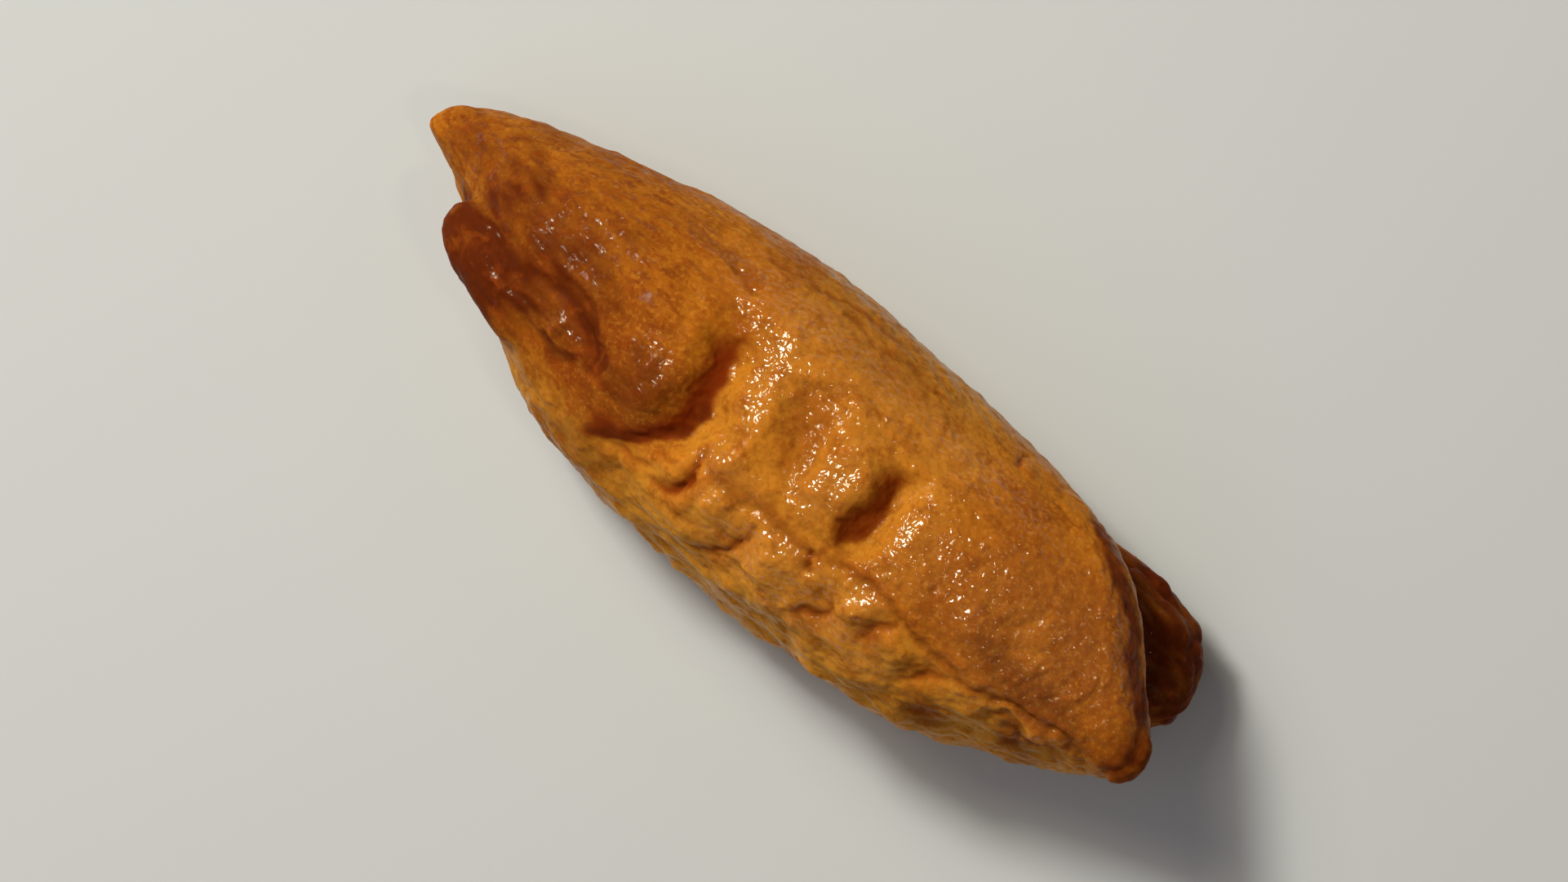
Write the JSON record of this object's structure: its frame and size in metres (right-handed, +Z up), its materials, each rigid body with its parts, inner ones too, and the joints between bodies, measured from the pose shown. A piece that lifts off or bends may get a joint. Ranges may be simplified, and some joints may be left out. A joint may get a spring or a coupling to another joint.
{
  "type": "inari sushi",
  "caption": "Simmered fried-tofu pouch filled with rice and folded shut, with a pointed low end, a rolled ear, a raised blunt tip, deep folds across the top and a puckered front.",
  "frame": {"origin": "middle of the bounding box's underside, on the surface the pouch lies on", "axes": "+X from the low pointed end to the raised blunt tip, +Y to the smooth back, +Z up"},
  "size_m": [0.0842, 0.0296, 0.0288],
  "materials": {
    "tofu_skin": "moist simmered skin with a thin syrupy glaze"
  },
  "bodies": {
    "root": {"pouch": "tofu_skin"}
  },
  "joints": []
}
